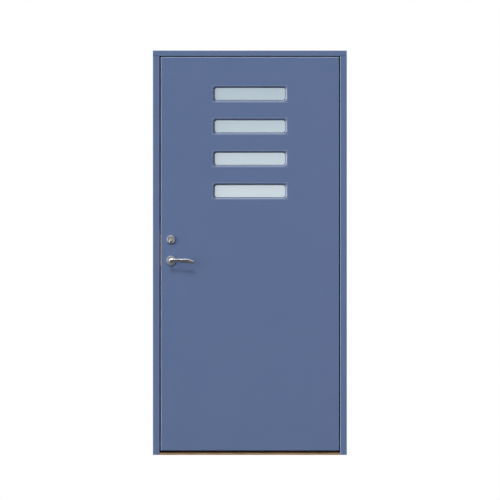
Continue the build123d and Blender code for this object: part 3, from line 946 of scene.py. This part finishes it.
rose_nickel = bare_metal(
    "rose_nickel",
    colour=(0.322, 0.334, 0.352),
    grain=(420.0, 60.0, 420.0),
    streak=0.1,
    gloss=0.36,
    gloss_swing=0.08,
    depth=0.00001,
    metallic=0.65,
)
turned_nickel = bare_metal(
    "turned_nickel",
    colour=(0.55, 0.558, 0.574),
    grain=(420.0, 60.0, 420.0),
    streak=0.1,
    gloss=0.31,
    gloss_swing=0.08,
    depth=0.00001,
)
outer_disc = skin("outer_lever_rose", [lever_rose(leaf_front, -1.0)], rose_nickel, "leaf")
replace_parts(smooth(outer_disc), "outer_roses")
outer_ring = skin("outer_cylinder_ring", [cylinder_cone()], turned_nickel, "leaf")
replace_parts(smooth(outer_ring), "outer_roses")
turn_base = leaf_back + rose_thickness
turn_profile = np.concatenate([
    [(0.0, leaf_back)],
    rounded_edge(ring_radius, leaf_back, turn_base, rose_edge, 1.0),
    [(0.0, turn_base)],
])
inner_discs = skin(
    "inner_rose_set",
    [lever_rose(leaf_back, 1.0), spun(turn_profile, lever_axis_x, cylinder_z, rose_corners)],
    rose_nickel,
    "leaf",
)
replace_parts(smooth(inner_discs), "inner_roses")


# Lock cylinder and its key plug: an oval body of brass under the same nickel, with a low
# cone round the plug, and a flat plug with a flared slot for the key, painted dark inside as shade.
oval_fit = 0.0002
cone_foot = 0.0087
cone_top = 0.0076
cone_rise = 0.0007
plug_bore = 0.0074
plug_radius = 0.0072
plug_edge = 0.0004
plug_corners = 96
plug_middle = oval_middles[1]
plug_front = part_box("key_plug")[0][1]
plug_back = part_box("key_plug")[1][1]
face_edge = 0.0005
face_y = leaf_front - ring_height
body_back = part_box("lock_cylinder")[1][1]
slot_half = np.array([0.0017, 0.0044])
slot_squareness = 20 / 3
slot_flare = 0.0009
slot_depth = 0.012
slot_drop = np.array([0.0, 0.0012])
slot_painted_shade = (0.012, 0.011, 0.010)
slot_painted_shade_depth = 0.0005
crisp = math.radians(25)


def cylinder_body():
    """Rows from the back of the oval over its edge and the cone to the plug's bore."""
    way = round_ways(ring_corners)
    rows = [
        on_face(cylinder_oval(way, oval_fit), body_back),
        on_face(cylinder_oval(way, oval_fit), face_y + face_edge),
        on_face(cylinder_oval(way, oval_fit + face_edge), face_y),
        on_face(plug_middle + cone_foot * way, face_y),
        on_face(plug_middle + cone_top * way, face_y - cone_rise),
        on_face(plug_middle + plug_bore * way, face_y - cone_rise),
        on_face(plug_middle + plug_bore * way, body_back),
    ]
    return np.stack(rows + rows[:1])


def plug_body():
    """Rows from the bottom of the key slot, a superellipse, out over the flared mouth and
    the round face to the rim and the back."""
    way = round_ways(plug_corners)
    slot = squared(way, slot_squareness)
    slot_middle = plug_middle - slot_drop
    return np.stack([
        on_face(slot_middle + 0.0 * slot, plug_front + slot_depth),
        on_face(slot_middle + slot_half * slot, plug_front + slot_depth),
        on_face(slot_middle + slot_half * slot, plug_front + 2 * slot_flare),
        on_face(slot_middle + (slot_half + slot_flare) * slot, plug_front),
        on_face(plug_middle + (plug_radius - plug_edge) * way, plug_front),
        on_face(plug_middle + plug_radius * way, plug_front + plug_edge),
        on_face(plug_middle + plug_radius * way, plug_back),
        on_face(plug_middle + 0.0 * way, plug_back),
    ])


brushed_plug = bare_metal(
    "brushed_plug",
    colour=(0.51, 0.515, 0.527),
    grain=(700.0, 60.0, 60.0),
    streak=0.15,
    gloss=0.3,
    gloss_swing=0.1,
    depth=0.00002,
)
tree = brushed_plug.node_tree
shader = tree.nodes["Principled BSDF"].inputs
brushed_colour = shader["Base Color"].links[0].from_socket
place = add(tree, "ShaderNodeTexCoord", {}).outputs["Object"]
# Painted shade: behind the plug's front face, in the key slot and round its rim, the colour is
# darkened almost to black.
painted_slot_shade = ramp(tree, split(tree, place)["Y"], plug_front, plug_front + slot_painted_shade_depth)
feed(tree, shader, {"Base Color": blend(tree, painted_slot_shade, brushed_colour, (*slot_painted_shade, 1.0))})
cylinder_shell = skin("lock_cylinder_shell", [cylinder_body()], turned_nickel, "leaf")
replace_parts(smooth(cylinder_shell, crisp), "lock_cylinder")
plug_shell = skin("key_plug_shell", [plug_body()], brushed_plug, "leaf")
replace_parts(smooth(plug_shell, crisp), "key_plug")


# Thumb turn: on the inner rose, a round collar and a flat grip with soft edges, turned
# from one piece of the same nickel-plated brass.
collar_radius = 0.010
collar_height = 0.005
collar_edge = 0.0012
turn_half = np.array([0.0055, 0.017])
turn_height = 0.020
turn_edge = 0.0022
turn_edge_steps = 8
turn_corners = 96
turn_squareness = 3.2


def turn_grip():
    """Superellipse loops from the collar up, drawn in over a quarter circle at the top. The
    first and last loop shrink to a point."""
    loop = squared(round_ways(turn_corners), turn_squareness)
    turn = np.linspace(0.0, np.pi / 2, turn_edge_steps)
    inset = np.concatenate([[0.0], turn_edge * (1 - np.cos(turn))])
    rise = turn_height - turn_edge + turn_edge * np.sin(turn)
    height = np.concatenate([[collar_height / 2], rise])
    flat = (turn_half - inset[:, None])[:, None] * loop
    flat = np.concatenate([0.0 * flat[:1], flat, 0.0 * flat[:1]])
    height = np.concatenate([height[:1], height, height[-1:]])
    return np.stack([
        lever_axis_x + flat[..., 0],
        np.broadcast_to((turn_base + height)[:, None], flat.shape[:2]),
        cylinder_z + flat[..., 1],
    ], axis=-1)


collar_line = np.concatenate([
    [(0.0, turn_base)],
    rounded_edge(collar_radius, turn_base, turn_base + collar_height, collar_edge, 1.0),
    [(0.0, turn_base + collar_height)],
])
turn_knob = skin(
    "thumb_turn_knob",
    [spun(collar_line, lever_axis_x, cylinder_z), turn_grip()],
    turned_nickel,
    "leaf",
)
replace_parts(smooth(turn_knob), "thumb_turn")


# Studio: a pale floor, soft light from all round that is strongest on the left and
# above, a key lamp from the upper front and a wider one from behind, and a camera
# straight in front.
floor_half = 9.0
floor_grey = (0.78, 0.78, 0.78)
floor_gloss = 0.9
floor_corners = floor_half * np.array([(-1, -1, 0), (1, -1, 0), (1, 1, 0), (-1, 1, 0)])
floor_mesh = bpy.data.meshes.new("studio_floor")
floor_mesh.from_pydata(floor_corners.tolist(), [], [(0, 1, 2, 3)])
floor_paper = bpy.data.materials.new("pale_paper")
floor_paper.use_nodes = True
tree = floor_paper.node_tree
shader = tree.nodes["Principled BSDF"].inputs
feed(tree, shader, {"Base Color": (*floor_grey, 1.0), "Roughness": floor_gloss})
floor_mesh.materials.append(floor_paper)
studio_floor = bpy.data.objects.new("studio_floor", floor_mesh)
bpy.context.scene.collection.objects.link(studio_floor)
studio_floor.visible_diffuse = False
studio_floor.visible_glossy = False
studio_floor.visible_transmission = False

world = bpy.data.worlds.new("soft_studio")
bpy.context.scene.world = world
world.use_nodes = True
tree = world.node_tree
tree.nodes.clear()
way_out = add(tree, "ShaderNodeTexCoord", {}).outputs["Generated"]
rays = add(tree, "ShaderNodeLightPath", {}).outputs


def slope_light(base, front, left, up, least):
    """Brightness that changes evenly with direction, never under the least value."""
    lean = reckon_vectors(tree, "DOT_PRODUCT", way_out, (-left, -front, up))["Value"]
    return reckon(tree, "MAXIMUM", reckon(tree, "ADD", lean, base), least)


def soft_box(direction, power, strength):
    """A soft patch of light: strength times the cosine to the direction, to a power."""
    facing = reckon_vectors(tree, "DOT_PRODUCT", way_out, direction)["Value"]
    seen = reckon(tree, "MAXIMUM", facing, 0.0)
    return reckon(tree, "MULTIPLY", reckon(tree, "POWER", seen, power), strength)


def white_light(brightness):
    """A white background of that brightness."""
    values = {"Color": (1.0, 1.0, 1.0, 1.0), "Strength": brightness}
    return add(tree, "ShaderNodeBackground", values).outputs[0]


side_way = (-0.943, -0.318, 0.10)
top_way = (0.0, -0.26, 0.966)
fill_slope = slope_light(base=0.25, front=0.0, left=0.0, up=0.34, least=0.05)
fill_side = soft_box(side_way, power=6.0, strength=6.0)
fill_light = white_light(reckon(tree, "ADD", fill_slope, fill_side))
gloss_slope = slope_light(base=0.30, front=0.02, left=0.3, up=0.7, least=0.11)
gloss_side = soft_box(side_way, power=8.0, strength=4.4)
gloss_top = soft_box(top_way, power=8.0, strength=2.6)
gloss_boxes = reckon(tree, "ADD", gloss_side, gloss_top)
gloss_light = white_light(reckon(tree, "ADD", gloss_slope, gloss_boxes))
lit_rays = {0: rays["Is Glossy Ray"], 1: fill_light, 2: gloss_light}
lit = add(tree, "ShaderNodeMixShader", lit_rays).outputs[0]
seen_rays = {0: rays["Is Camera Ray"], 1: lit, 2: white_light(1.0)}
sky = add(tree, "ShaderNodeMixShader", seen_rays).outputs[0]
add(tree, "ShaderNodeOutputWorld", {"Surface": sky})


def soft_sun(name, towards, strength, angle_deg):
    """A distant lamp that shines from the given direction, as wide as the angle."""
    lamp = bpy.data.lights.new(name, "SUN")
    lamp.energy = strength
    lamp.angle = math.radians(angle_deg)
    made = bpy.data.objects.new(name, lamp)
    bpy.context.scene.collection.objects.link(made)
    away = np.array(towards) / np.linalg.norm(towards)
    made.rotation_euler = (math.acos(away[2]), 0.0, math.atan2(away[0], -away[1]))


soft_sun("key_lamp", towards=(-0.15, -1.0, 1.07), strength=1.36, angle_deg=12.0)
soft_sun("back_lamp", towards=(0.6, 1.0, 0.6), strength=1.6, angle_deg=30.0)

picture_pixels = 500
metres_per_pixel = 0.00513
camera_place = (0.0010, -6.0, 1.0514)
camera_reach = 60.0
camera = bpy.data.cameras.new("front_camera")
camera.type = "ORTHO"
camera.ortho_scale = picture_pixels * metres_per_pixel
camera.clip_end = camera_reach
front_camera = bpy.data.objects.new("front_camera", camera)
bpy.context.scene.collection.objects.link(front_camera)
front_camera.location = camera_place
front_camera.rotation_euler = (math.radians(90), 0.0, 0.0)
bpy.context.scene.camera = front_camera
bpy.context.scene.view_settings.view_transform = "Standard"
bpy.context.scene.view_settings.look = "None"
